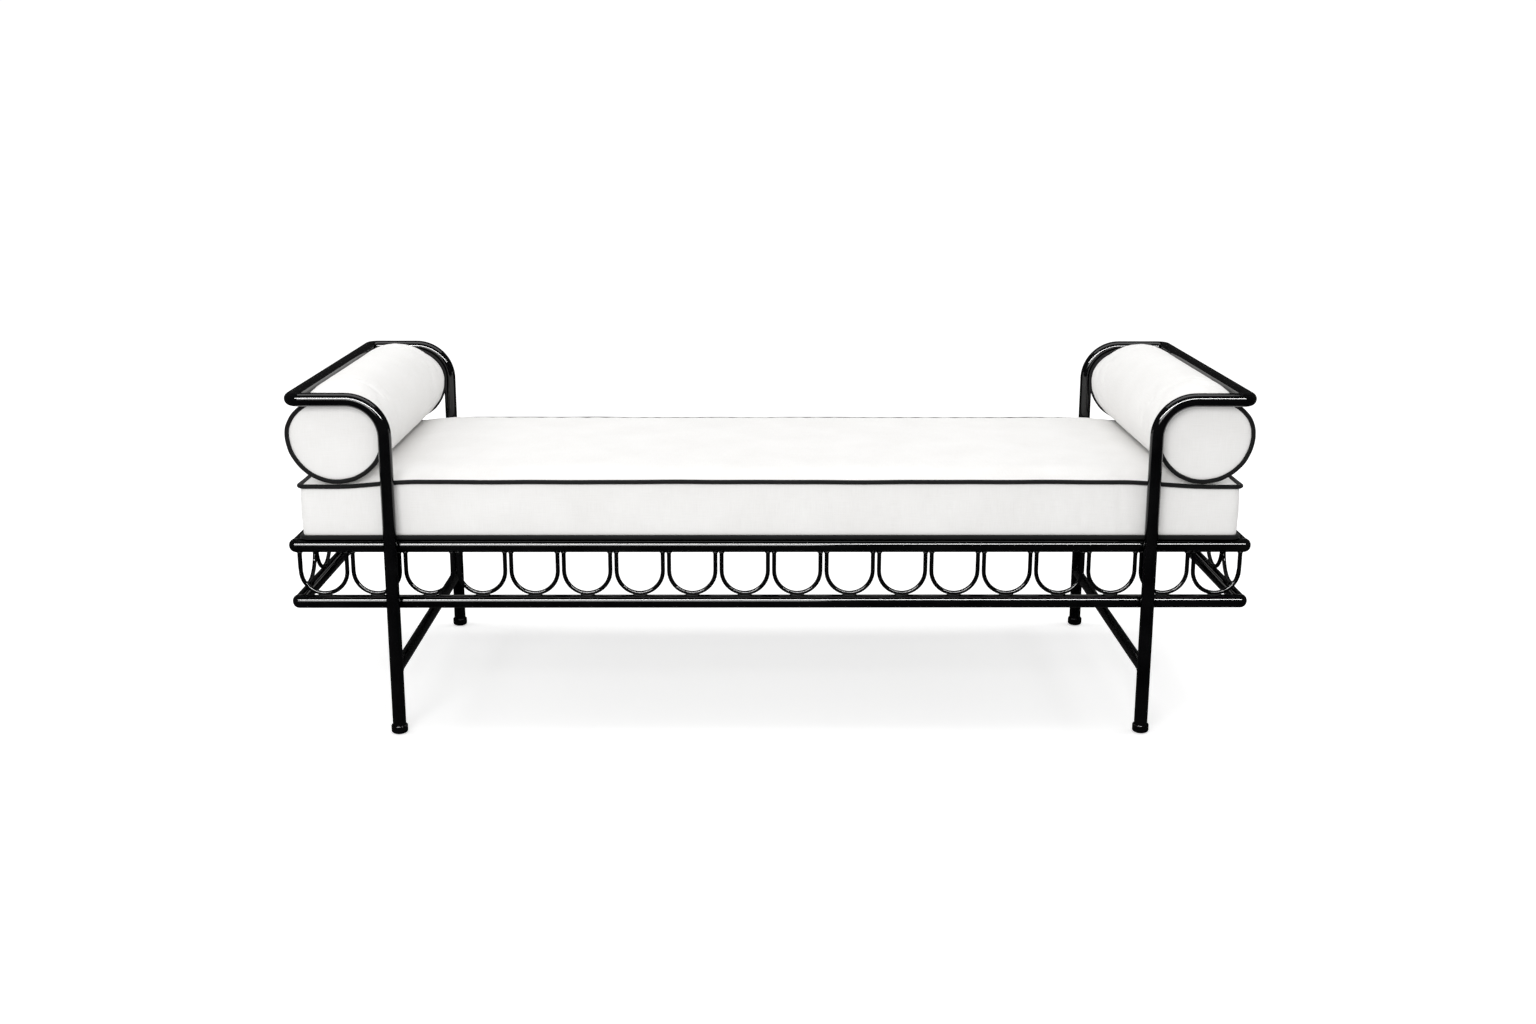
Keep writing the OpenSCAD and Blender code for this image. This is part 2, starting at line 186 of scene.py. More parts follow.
class Mesh:
    """Collects many small shapes into one mesh."""

    def __init__(self):
        self.points = []
        self.faces = []

    def add(self, points, faces):
        start = len(self.points)
        self.points += [tuple(p) for p in points]
        self.faces += [tuple(start + i for i in face) for face in faces]

    def rings(self, rings, closed_ends=True):
        """Joins equal rings of points into a skin."""
        count = len(rings[0])
        faces = []
        for a in range(len(rings) - 1):
            for b in range(count):
                c = (b + 1) % count
                faces.append((a * count + b, a * count + c, (a + 1) * count + c, (a + 1) * count + b))
        if closed_ends:
            faces.append(tuple(reversed(range(count))))
            last = (len(rings) - 1) * count
            faces.append(tuple(last + b for b in range(count)))
        self.add([p for ring in rings for p in ring], faces)


def ripple(t, seed):
    """Smooth irregular wave between -1 and 1."""
    waves = ((1.0, 1.0), (0.7, 2.37), (0.5, 4.11))
    total = sum(weight * np.sin(pace * t + seed * (1.7 + pace)) for weight, pace in waves)
    return total / sum(weight for weight, _ in waves)


def ease(t):
    """0 below 0, 1 above 1, smooth between."""
    t = np.clip(t, 0, 1)
    return t * t * (3 - 2 * t)


def unit(v):
    """Vectors scaled to length 1."""
    return v / np.maximum(np.linalg.norm(v, axis=-1, keepdims=True), 1e-12)


def closed_tube(path, radius, across, sides=14):
    """Points, faces and thread map of a cord along a closed path that never runs along across."""
    count = len(path)
    tangent = unit(np.roll(path, -1, 0) - np.roll(path, 1, 0))
    side = unit(np.cross(np.broadcast_to(across, tangent.shape), tangent))
    lift = np.cross(tangent, side)
    angle = np.arange(sides) * 2 * math.pi / sides
    points = (
        path[:, None]
        + radius * np.cos(angle)[None, :, None] * side[:, None]
        + radius * np.sin(angle)[None, :, None] * lift[:, None]
    )
    run = np.concatenate(([0], np.cumsum(np.linalg.norm(np.roll(path, -1, 0) - path, axis=1))))
    faces, threads = [], []
    for a in range(count):
        b = (a + 1) % count
        for c in range(sides):
            d = (c + 1) % sides
            faces.append((a * sides + c, b * sides + c, b * sides + d, a * sides + d))
            low, high = radius * angle[c], radius * angle[1] * (c + 1)
            threads += [(run[a], low, 0), (run[a + 1], low, 0), (run[a + 1], high, 0), (run[a], high, 0)]
    return points.reshape(-1, 3), faces, threads


# ---------- materials ----------

class Nodes:
    """Short names for the nodes of one material."""

    def __init__(self, name):
        self.material = bpy.data.materials.new(name)
        self.material.use_nodes = True
        self.tree = self.material.node_tree
        self.shader = self.tree.nodes["Principled BSDF"]

    def link(self, source, target):
        self.tree.links.new(source, target)

    def new(self, kind, **sockets):
        node = self.tree.nodes.new("ShaderNode" + kind)
        for name, value in sockets.items():
            node.inputs[name.replace("_", " ")].default_value = value
        return node

    def math(self, operation, a, b=None):
        node = self.tree.nodes.new("ShaderNodeMath")
        node.operation = operation
        for socket, value in zip(node.inputs, (a, b)):
            if isinstance(value, (int, float)):
                socket.default_value = value
            elif value is not None:
                self.link(value, socket)
        return node.outputs[0]

    def length(self, vector):
        """Length of a vector."""
        node = self.tree.nodes.new("ShaderNodeVectorMath")
        node.operation = "LENGTH"
        self.link(vector, node.inputs[0])
        return node.outputs["Value"]

    def noise(self, vector, scale, detail=3.0, stretch=None):
        if stretch:
            mapping = self.new("Mapping")
            mapping.inputs["Scale"].default_value = stretch
            self.link(vector, mapping.inputs["Vector"])
            vector = mapping.outputs[0]
        node = self.new("TexNoise", Scale=scale, Detail=detail)
        self.link(vector, node.inputs["Vector"])
        return node.outputs["Fac"]

    def spread(self, value, low, high):
        """Maps the usual span of a noise to low..high."""
        node = self.new("MapRange")
        for socket, number in zip(("From Min", "From Max", "To Min", "To Max"), (0.3, 0.7, low, high)):
            node.inputs[socket].default_value = number
        self.link(value, node.inputs["Value"])
        return node.outputs[0]

    def colour(self, value, dark, light):
        """Colour between dark and light."""
        node = self.new("ValToRGB")
        node.color_ramp.elements[0].position = 0.3
        node.color_ramp.elements[1].position = 0.7
        node.color_ramp.elements[0].color = (*dark, 1)
        node.color_ramp.elements[1].color = (*light, 1)
        self.link(value, node.inputs["Fac"])
        return node.outputs["Color"]

    def bump(self, height, distance, under=None):
        node = self.new("Bump", Strength=1.0, Distance=distance)
        self.link(height, node.inputs["Height"])
        if under:
            self.link(under, node.inputs["Normal"])
        return node.outputs["Normal"]

    def set(self, **constants):
        for name, value in constants.items():
            self.shader.inputs[name.replace("_", " ")].default_value = value


def paint(name, dark, light, rough, specular):
    """Brushed enamel on steel: uneven gloss, faint orange peel and a few dull patches."""
    n = Nodes(name)
    place = n.new("TexCoord").outputs["Object"]
    broad = n.noise(place, 14, 4)
    patches = n.noise(place, 55, 5)
    n.link(n.colour(broad, dark, light), n.shader.inputs["Base Color"])
    n.link(n.spread(patches, rough[0], rough[1]), n.shader.inputs["Roughness"])
    peel = n.bump(n.noise(place, 420, 2), 0.0000015)
    waves = n.bump(n.noise(place, 30, 2), 0.00006, under=peel)
    n.link(waves, n.shader.inputs["Normal"])
    n.set(Specular_IOR_Level=specular)
    return n.material


def woven(name, dark, light, pitch, relief, sheen, bias=0.0, rough=(0.8, 0.92)):
    """Plain weave of a given thread pitch, with slubs, laid by the piece's thread map."""
    n = Nodes(name)
    flat = n.new("Attribute")
    flat.attribute_name = "thread"
    turn = n.new("Mapping")
    turn.inputs["Rotation"].default_value = (0, 0, bias)
    n.link(flat.outputs["Vector"], turn.inputs["Vector"])
    cloth = turn.outputs[0]
    split = n.new("SeparateXYZ")
    n.link(cloth, split.inputs[0])
    along = [n.math("SINE", n.math("MULTIPLY", split.outputs[i], math.pi / pitch)) for i in (0, 1)]
    weave = n.math("MULTIPLY", *along)
    warp_slubs = n.noise(cloth, 1, 2, stretch=(0.6 / pitch, 30, 1))
    weft_slubs = n.noise(cloth, 1, 2, stretch=(30, 0.6 / pitch, 1))
    slubs = n.math("ADD", n.math("MULTIPLY", warp_slubs, 0.5), n.math("MULTIPLY", weft_slubs, 0.5))
    tone = n.math("ADD", n.math("MULTIPLY", slubs, 0.6), n.math("MULTIPLY", n.noise(cloth, 9, 3), 0.4))
    tone = n.math("ADD", tone, n.math("MULTIPLY", weave, 0.06))
    n.link(n.colour(tone, dark, light), n.shader.inputs["Base Color"])
    n.link(n.spread(slubs, *rough), n.shader.inputs["Roughness"])
    height = n.math("ADD", n.math("MULTIPLY", weave, 0.5), slubs)
    n.link(n.bump(height, relief), n.shader.inputs["Normal"])
    n.set(Sheen_Weight=sheen, Sheen_Roughness=0.5, Specular_IOR_Level=0.25)
    return n.material


def spongy(name, dark, light, scale, relief):
    """Open cells of foam, or matted wadding."""
    n = Nodes(name)
    place = n.new("TexCoord").outputs["Object"]
    cells = n.new("TexVoronoi", Scale=scale)
    n.link(place, cells.inputs["Vector"])
    n.link(n.colour(n.noise(place, 40, 4), dark, light), n.shader.inputs["Base Color"])
    n.link(n.bump(cells.outputs["Distance"], relief), n.shader.inputs["Normal"])
    n.set(Roughness=0.95, Specular_IOR_Level=0.2)
    return n.material


def moulded(name, dark, light):
    """Matt moulded nylon with a fine spark texture."""
    n = Nodes(name)
    place = n.new("TexCoord").outputs["Object"]
    grain = n.noise(place, 1400, 2)
    n.link(n.colour(n.noise(place, 90, 3), dark, light), n.shader.inputs["Base Color"])
    n.link(n.spread(grain, 0.45, 0.62), n.shader.inputs["Roughness"])
    n.link(n.bump(grain, 0.00005), n.shader.inputs["Normal"])
    n.set(Specular_IOR_Level=0.4)
    return n.material


PAINT = paint("gloss_black_paint", (0.0030, 0.0030, 0.0032), (0.0055, 0.0055, 0.0058), (0.04, 0.10), 0.5)
DECK = paint("satin_black_paint", (0.010, 0.010, 0.011), (0.022, 0.022, 0.023), (0.38, 0.55), 0.3)
WELD = paint("painted_weld", (0.0028, 0.0028, 0.0030), (0.0055, 0.0055, 0.0058), (0.38, 0.55), 0.25)
CANVAS = woven("white_canvas", (0.80, 0.79, 0.775), (0.90, 0.895, 0.885), 0.00075, 0.00012, 0.15)
PIPING = woven("black_piping_cloth", (0.004, 0.004, 0.0042), (0.013, 0.013, 0.0135), 0.0006, 0.00012, 0.08,
               bias=math.pi / 4, rough=(0.6, 0.8))
TAPE = woven("zip_tape", (0.76, 0.75, 0.73), (0.88, 0.87, 0.85), 0.0011, 0.0002, 0.1)
THREAD = woven("sewing_thread", (0.74, 0.73, 0.71), (0.86, 0.85, 0.83), 0.0004, 0.00006, 0.1)
FOAM = spongy("open_cell_foam", (0.74, 0.67, 0.44), (0.86, 0.80, 0.60), 700, 0.0006)
WADDING = spongy("bonded_wadding", (0.86, 0.86, 0.86), (0.96, 0.96, 0.96), 220, 0.0015)
NYLON = moulded("black_nylon", (0.012, 0.012, 0.012), (0.026, 0.026, 0.026))
NICKEL = paint("nickel_zip", (0.50, 0.49, 0.46), (0.62, 0.61, 0.58), (0.2, 0.38), 0.5)
NICKEL.node_tree.nodes["Principled BSDF"].inputs["Metallic"].default_value = 1.0

SLOT_MATERIALS = {
    "frame_paint": PAINT, "deck_steel": DECK, "glide_nylon": NYLON, "cover_cloth": CANVAS,
    "piping_cloth": PIPING, "zip_tape": TAPE, "foam": FOAM, "wadding": WADDING,
}


def dress_cad_nodes():
    """Gives each CAD node the material of its slot."""
    for part in frame["record"]["subparts"]:
        node = frame["nodes"][part["node"]]
        node.data.materials.clear()
        node.data.materials.append(SLOT_MATERIALS[part["material_slot"]])


# ---------- cloth simulation ----------

def inflate(piece, pinned, frames, cap, slack, mass):
    """Fills the cover by cloth simulation with its seams held, and limits how far each point moves."""
    group = piece.vertex_groups.new(name="seams")
    group.add([int(i) for i in pinned], 1.0, "REPLACE")
    cloth = piece.modifiers.new("Cloth", "CLOTH")
    s = cloth.settings
    s.quality = 5
    s.mass = mass
    s.tension_stiffness = s.compression_stiffness = 15
    s.shear_stiffness = 5
    s.bending_stiffness = 0.5
    s.use_pressure = True
    s.uniform_pressure_force = 4
    s.vertex_group_mass = group.name
    s.shrink_min = -slack
    s.effector_weights.gravity = 0
    cloth.point_cache.frame_start = 1
    cloth.point_cache.frame_end = frames
    for f in range(1, frames + 1):
        SCENE.frame_set(f)
    rest = points_of(piece.data)
    final = points_of(piece.evaluated_get(bpy.context.evaluated_depsgraph_get()).data)
    moved = final - rest
    length = np.linalg.norm(moved, axis=1, keepdims=True)
    print(piece.name, "moved up to", round(float(length.max()) * 1000, 1), "mm")
    moved *= cap * np.tanh(length / cap) / np.maximum(length, 1e-9)
    piece.modifiers.remove(cloth)
    piece.vertex_groups.clear()
    set_points(piece.data, rest + moved)
    SCENE.frame_set(1)


def points_of(mesh):
    """All vertices of a mesh as an array."""
    points = np.zeros(len(mesh.vertices) * 3, np.float32)
    mesh.vertices.foreach_get("co", points)
    return points.reshape(-1, 3).astype(float)


def set_points(mesh, points):
    """Puts an array back as the vertices of a mesh."""
    mesh.vertices.foreach_set("co", points.astype(np.float32).ravel())
    mesh.update()


def normals_of(mesh):
    """Normals at all vertices of a mesh."""
    normals = np.zeros(len(mesh.vertices) * 3, np.float32)
    mesh.vertex_normals.foreach_get("vector", normals)
    return normals.reshape(-1, 3).astype(float)


def refine(piece):
    """One level of subdivision, applied."""
    modifier = piece.modifiers.new("Subdivision", "SUBSURF")
    modifier.levels = modifier.render_levels = 1
    bpy.context.view_layer.update()
    finer = bpy.data.meshes.new_from_object(piece.evaluated_get(bpy.context.evaluated_depsgraph_get()))
    piece.modifiers.clear()
    piece.data = finer
    finer.shade_smooth()


def tree_of(piece):
    """Search tree of a piece's surface, for casting rays at it."""
    mesh = piece.data
    return BVHTree.FromPolygons([v.co[:] for v in mesh.vertices], [p.vertices[:] for p in mesh.polygons])


# ---------- panels ----------

def panel_edge(nx, ny):
    """The outer points of an nx by ny panel, in order round its edge."""
    at = np.arange((nx + 1) * (ny + 1)).reshape(nx + 1, ny + 1)
    return np.concatenate([at[:-1, 0], at[-1, :-1], at[:0:-1, -1], at[0, :0:-1]])


def add_panel(faces, threads, nx, ny, start, order, flat):
    """Adds the quads of an nx by ny panel, corners in the given order, and their thread map."""
    at = np.arange((nx + 1) * (ny + 1)).reshape(nx + 1, ny + 1)
    for i in range(nx):
        for j in range(ny):
            around = (at[i, j], at[i + 1, j], at[i + 1, j + 1], at[i, j + 1])
            quad = [around[k] for k in order]
            faces.append(tuple(start + q for q in quad))
            threads += [(*flat[q], 0) for q in quad]


# ---------- zips ----------

def zip_fastener(node, body, cover, length, centre, along, out):
    """Zip let into a cover: tape, two folded welts, sewing, coil teeth, slider and pull."""
    across = along.cross(out)
    tree = tree_of(cover)

    def surface(s, h):
        """The cover at s along the zip and h across it."""
        start = centre + along * s + across * h + out * 0.03
        hit = tree.ray_cast(start, -out, 0.08)[0]
        return hit if hit else start - out * 0.03

    def strip(name, s0, s1, h0, h1, low, high, material, slot):
        """Flat band lying on the cover, with thin closed sides."""
        rows = 4
        count = int((s1 - s0) / 0.008)
        ss, hh = np.linspace(s0, s1, count + 1), np.linspace(h0, h1, rows + 1)
        edge = [0.35] + [1.0] * (rows - 1) + [0.35]
        rings, flat = [], []
        for s in ss:
            lie = [surface(s, h) for h in hh]
            upper = [q + out * (low + (high - low) * e) for q, e in zip(lie, edge)]
            under = [q + out * low for q in reversed(lie)]
            rings.append(upper + under)
            flat += [(s, h, 0) for h in hh] + [(s, h, 0) for h in reversed(hh)]
        shape = Mesh()
        shape.rings(rings)
        piece = make(name, shape.points, shape.faces, material, body, smooth=False)
        thread_map(piece, [flat[v] for face in shape.faces for v in face])
        return piece

    half = length / 2
    tape = strip(f"{node}_tape", -half, half, -TAPE_HALF, TAPE_HALF, -0.0004, 0.0003, TAPE, "zip_tape")
    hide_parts(node)
    sewing = Mesh()
    square = (0.3, 1.87, 3.44, 5.01)
    for name, h0, h1, row in (("upper", SLOT_HALF, WELT_END, STITCH_ROW),
                              ("lower", -WELT_END, -SLOT_HALF, -STITCH_ROW)):
        strip(f"{node}_{name}_welt", -half - WELT_SPARE, half + WELT_SPARE, h0, h1, -0.0002, 0.0011,
              CANVAS, "cover_cloth")
        for s in np.arange(-half + 0.004, half - 0.004, STITCH_PITCH):
            lie = surface(s, row) + out * 0.00125
            sewing.rings([[lie + along * (t * 0.0012) + across * (0.00028 * w * math.cos(a))
                           + out * (0.00026 * w * math.sin(a)) for a in square]
                          for t, w in ((-1, 0.5), (0, 1), (1, 0.5))])
    for s in (-half + 0.002, half - 0.002):
        for h in np.arange(-0.009, 0.0091, 0.0016):
            lie = surface(s, h) + out * 0.0013
            sewing.rings([[lie + across * (t * 0.0007) + along * (0.0009 * math.cos(a))
                           + out * (0.0004 * math.sin(a)) for a in square]
                          for t in (-1, 1)])
    make(f"{node}_sewing", sewing.points, sewing.faces, THREAD, body)
    coil = Mesh()
    for k, s in enumerate(np.arange(-half + 0.006, half - 0.02, COIL_PITCH)):
        lie = surface(s, 0) + out * 0.0007
        lean = 0.0003 if k % 2 else -0.0003
        coil.rings([[lie + across * (t * 0.0017) + along * (lean * t + 0.00042 * math.cos(a))
                     + out * (0.0005 * math.sin(a)) for a in (0.5, 1.55, 2.6, 3.6, 4.7, 5.8)]
                    for t in (-1, 0, 1)])
    make(f"{node}_coil", coil.points, coil.faces, TAPE, body)
    zip_slider(node, body, surface(half - SLIDER_INSET, 0), along, across, out)


def zip_slider(node, body, place, along, across, out):
    """Slider body with its bridge, and a pull that hangs flat on the cover."""
    shape = Mesh()

    def slab(at, half_s, half_h, half_o):
        """Rounded block of the given half sizes along, across and out."""
        rings = []
        for lift, take in ((-1, 0.82), (-0.7, 1), (0.7, 1), (1, 0.82)):
            corner = []
            for t in np.arange(16) * 2 * math.pi / 16 + 0.1:
                p, q = math.cos(t), math.sin(t)
                swell = 1 / max(abs(p) ** 3 + abs(q) ** 3, 1e-6) ** (1 / 3)
                corner.append(at + along * (p * swell * half_s * take)
                              + across * (q * swell * half_h * take) + out * (lift * half_o))
            rings.append(corner)
        shape.rings(rings)

    slab(place + out * 0.0021, 0.0052, 0.0040, 0.0009)
    slab(place + out * 0.0036, 0.0022, 0.0010, 0.0008)
    down = -math.copysign(0.0125, across.z)
    slab(place + across * down + out * 0.0040, 0.0027, 0.0115, 0.0006)
    make(f"{node}_slider", shape.points, shape.faces, NICKEL, body)


# ---------- mattress ----------

def round_corners(x, y, half_x, half_y):
    """Maps a rectangle's corner squares to quarter discs."""
    u = np.clip((np.abs(x) - half_x + CORNER_R) / CORNER_R, 0, 1)
    v = np.clip((np.abs(y) - half_y + CORNER_R) / CORNER_R, 0, 1)
    both = (u > 0) & (v > 0)
    round_x = half_x - CORNER_R + CORNER_R * u * np.sqrt(1 - v * v / 2)
    round_y = half_y - CORNER_R + CORNER_R * v * np.sqrt(1 - u * u / 2)
    return np.where(both, np.sign(x) * round_x, x), np.where(both, np.sign(y) * round_y, y)


def settle(points, top):
    """Moves seams and panels from the drawing to how the filled mattress lies under its bolsters."""
    x, y, z = points[:, 0], points[:, 1], points[:, 2]
    edge = np.maximum((np.abs(x) / SEAM_X) ** 30, (np.abs(y) / SEAM_Y) ** 14)
    wave = ripple(11 * x + 5 * np.sign(y), 3 if top else 8) + 0.7 * ripple(19 * y + 4 * np.sign(x), 5)
    out = points.copy()
    out[:, 0] = x * (1 - SIDE_PULL / SEAM_X * (1 - (y / SEAM_Y) ** 2))
    out[:, 1] = y * (1 - SIDE_PULL / SEAM_Y * (1 - (x / SEAM_X) ** 4))
    if top:
        sag = END_SAG * ease((np.abs(x) - SAG_START) / (SAG_END - SAG_START))
        out[:, 2] = z - sag + SEAM_WAVE * edge * wave
    return out


def seam_path(z, top):
    """Centre line of the piping round the mattress: four round corners and the runs between them."""
    step = 0.005
    arc = np.linspace(-math.pi / 2, 0, 9)
    corners = []
    for turn, (sx, sy) in enumerate(((1, -1), (1, 1), (-1, 1), (-1, -1))):
        centre = np.array((sx * (SEAM_X - CORNER_R), sy * (SEAM_Y - CORNER_R)))
        angle = arc + turn * math.pi / 2
        corners.append(centre + CORNER_R * np.column_stack([np.cos(angle), np.sin(angle)]))
    parts = []
    for corner, following in zip(corners, corners[1:] + corners[:1]):
        run = following[0] - corner[-1]
        count = int(np.linalg.norm(run) / step)
        parts += [corner, corner[-1] + run * np.linspace(0, 1, count + 1)[1:-1, None]]
    flat = np.concatenate(parts)
    return settle(np.column_stack([flat, np.full(len(flat), z)]), top)


def bolster_underside(x, z, y):
    """Lowers a height to stay under a bolster at rest, with a soft shoulder."""
    for side in (-1, 1):
        across = np.clip(np.abs(x - side * BOLSTER_X), 0, BOLSTER_R - 1e-4)
        under = BOLSTER_Z - np.sqrt(BOLSTER_R ** 2 - across ** 2) - TOUCHING
        under = under + 0.02 * ease((np.abs(y) - RING_Y - 0.002) / 0.02)
        gap, soft = z - under, 0.005
        z = z - 0.5 * (gap + np.sqrt(gap * gap + soft * soft))
    return z


def mattress_shape(nx, ny, nz):
    """Points, faces and thread map of two panels and a band, and the points of the two seams."""
    half_x, half_y = SEAM_X - SEAM_INSET, SEAM_Y - SEAM_INSET
    u, v = np.meshgrid(np.linspace(-1, 1, nx + 1), np.linspace(-1, 1, ny + 1), indexing="ij")
    x, y = round_corners(u.ravel() * half_x, v.ravel() * half_y, half_x, half_y)
    fill = (1 - np.abs(u.ravel()) ** 20) * (1 - np.abs(v.ravel()) ** 16)
    top = settle(np.column_stack([x, y, TOP_Z + CROWN * fill]), True)
    bottom = settle(np.column_stack([x, y, BOTTOM_Z - BOTTOM_SWELL * ease(fill * 3)]), False)

    loop = panel_edge(nx, ny)
    panel = len(top)
    rows = [loop]
    points = [top, bottom]
    start = 2 * panel
    high, low = top[loop], bottom[loop]
    outward = unit(np.cross(np.roll(high, -1, 0) - np.roll(high, 1, 0), UP))
    for k in range(1, nz):
        share = k / nz
        bulge = BAND_BULGE * math.sin(math.pi * share)
        points.append(high * (1 - share) + low * share + outward * bulge)
        rows.append(start + np.arange(len(loop)))
        start += len(loop)
    rows.append(panel + loop)

    flat = np.column_stack([x, y])
    faces, threads = [], []
    add_panel(faces, threads, nx, ny, 0, (0, 1, 2, 3), flat)
    add_panel(faces, threads, nx, ny, panel, (0, 3, 2, 1), flat)
    run = np.concatenate(([0], np.cumsum(np.linalg.norm(np.roll(high, -1, 0) - high, axis=1))))
    drop = (TOP_Z - BOTTOM_Z) / nz
    for k in range(nz):
        for a in range(len(loop)):
            b = (a + 1) % len(loop)
            faces.append((rows[k][a], rows[k + 1][a], rows[k + 1][b], rows[k][b]))
            z0, z1 = -k * drop, -(k + 1) * drop
            threads += [(run[a], z0, 0), (run[a], z1, 0), (run[a + 1], z1, 0), (run[a + 1], z0, 0)]
    return np.concatenate(points), faces, threads, np.concatenate([loop, panel + loop])


def mattress():
    """Closed cover, filled by simulation, dented by the bolsters and flat on the deck."""
    nx, ny = 194, 72
    points, faces, threads, seams = mattress_shape(nx, ny, 12)
    cover = make("mattress_cover", points, faces, CANVAS, "frame")
    thread_map(cover, threads)
    inflate(cover, seams, frames=20, cap=0.005, slack=0.004, mass=0.1)

    panel = (nx + 1) * (ny + 1)
    points = points_of(cover.data)
    upper, under = points[:panel], points[panel:2 * panel]
    upper[:, 2] = bolster_underside(upper[:, 0], upper[:, 2], upper[:, 1])
    under[:, 2] = np.maximum(under[:, 2], SLAT_TOP + TOUCHING)
    on_rail = np.abs(under[:, 1]) > RAIL_Y - 0.010
    under[:, 2] = np.where(on_rail, np.maximum(under[:, 2], UPPER_Z + RAIL_R + 0.0003), under[:, 2])
    set_points(cover.data, points)
    refine(cover)
    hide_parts("mattress_top_panel", "mattress_boxing", "mattress_bottom_panel",
                "mattress_wadding", "mattress_foam")
    zip_fastener("mattress_zip", "frame", cover, MATTRESS_ZIP,
                 Vector((0, SEAM_Y, MATTRESS_ZIP_Z)), Vector((-1, 0, 0)), Vector((0, 1, 0)))


def mattress_piping():
    """Cords along the upper and lower seams."""
    for name, z, top in (("top", TOP_Z, True), ("bottom", BOTTOM_Z, False)):
        points, faces, threads = closed_tube(seam_path(z, top), CORD_R, UP)
        cord = make(f"mattress_{name}_cord", points, faces, PIPING, "frame")
        thread_map(cord, threads)
        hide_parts(f"mattress_{name}_piping")


# ---------- bolsters ----------

def clear_of_arm(points, side, room):
    """Dents a surface where the arm tube presses on it."""
    axis = np.array((side * ARM_X, 0.0, ARM_Z))
    away = points - axis
    away[:, 1] = 0
    distance = np.linalg.norm(away, axis=1)
    soft = 0.003
    push = 0.5 * (room - distance + np.sqrt((room - distance) ** 2 + soft ** 2))
    push = np.where(distance < room + 0.02, push, 0)
    return points + unit(away) * push[:, None]


def slump(points):
    """Lowers the crest of a bolster towards its ends, where the filling doesn't reach the seam."""
    inside = np.clip(RING_Y - np.abs(points[:, 1]), 0, None)
    above = np.clip(points[:, 2] - BOLSTER_Z, 0, None)
    out = points.copy()
    out[:, 2] -= END_SLUMP * above * np.exp(-(inside / SLUMP_REACH) ** 2)
    return out


def bolster_shape(centre, cells, along):
    """Points, faces and thread map of two discs and a sleeve, and the points of the two seams."""
    around = 4 * cells
    u, v = np.meshgrid(np.linspace(-1, 1, cells + 1), np.linspace(-1, 1, cells + 1), indexing="ij")
    u, v = u.ravel(), v.ravel()
    disc_x, disc_z = u * np.sqrt(1 - v * v / 2), v * np.sqrt(1 - u * u / 2)
    radius = np.minimum(np.hypot(disc_x, disc_z), 1)
    dome = DOME * (1 - radius ** 4)
    loop = panel_edge(cells, cells)
    disc = len(u)
    r = SLEEVE_SEAM_R
    front = np.column_stack([disc_x * r, -RING_Y - dome, disc_z * r]) + centre
    back = np.column_stack([disc_x * r, RING_Y + dome, disc_z * r]) + centre
    points, rows = [front, back], [loop]
    start = 2 * disc
    ring = unit(np.column_stack([disc_x[loop], np.zeros(len(loop)), disc_z[loop]]))
    for k in range(1, along):
        share = k / along
        swell = SLEEVE_SWELL * (1 - abs(2 * share - 1) ** 10)
        y = -RING_Y + 2 * RING_Y * share
        points.append(centre + ring * (r + swell) + np.array((0, y, 0)))
        rows.append(start + np.arange(around))
        start += around
    rows.append(disc + loop)

    flat = np.column_stack([disc_x * r, disc_z * r])
    faces, threads = [], []
    add_panel(faces, threads, cells, cells, 0, (0, 1, 2, 3), flat)
    add_panel(faces, threads, cells, cells, disc, (3, 2, 1, 0), flat)
    angle = np.unwrap(np.arctan2(disc_z[loop], disc_x[loop]))
    angle = np.append(angle, angle[0] + 2 * math.pi) * r
    for k in range(along):
        y0, y1 = (2 * RING_Y * share for share in (k / along, (k + 1) / along))
        for a in range(around):
            b = (a + 1) % around
            faces.append((rows[k][b], rows[k][a], rows[k + 1][a], rows[k + 1][b]))
            threads += [(angle[a + 1], y0, 0), (angle[a], y0, 0), (angle[a], y1, 0), (angle[a + 1], y1, 0)]
    return np.concatenate(points), faces, threads, np.concatenate([loop, disc + loop])


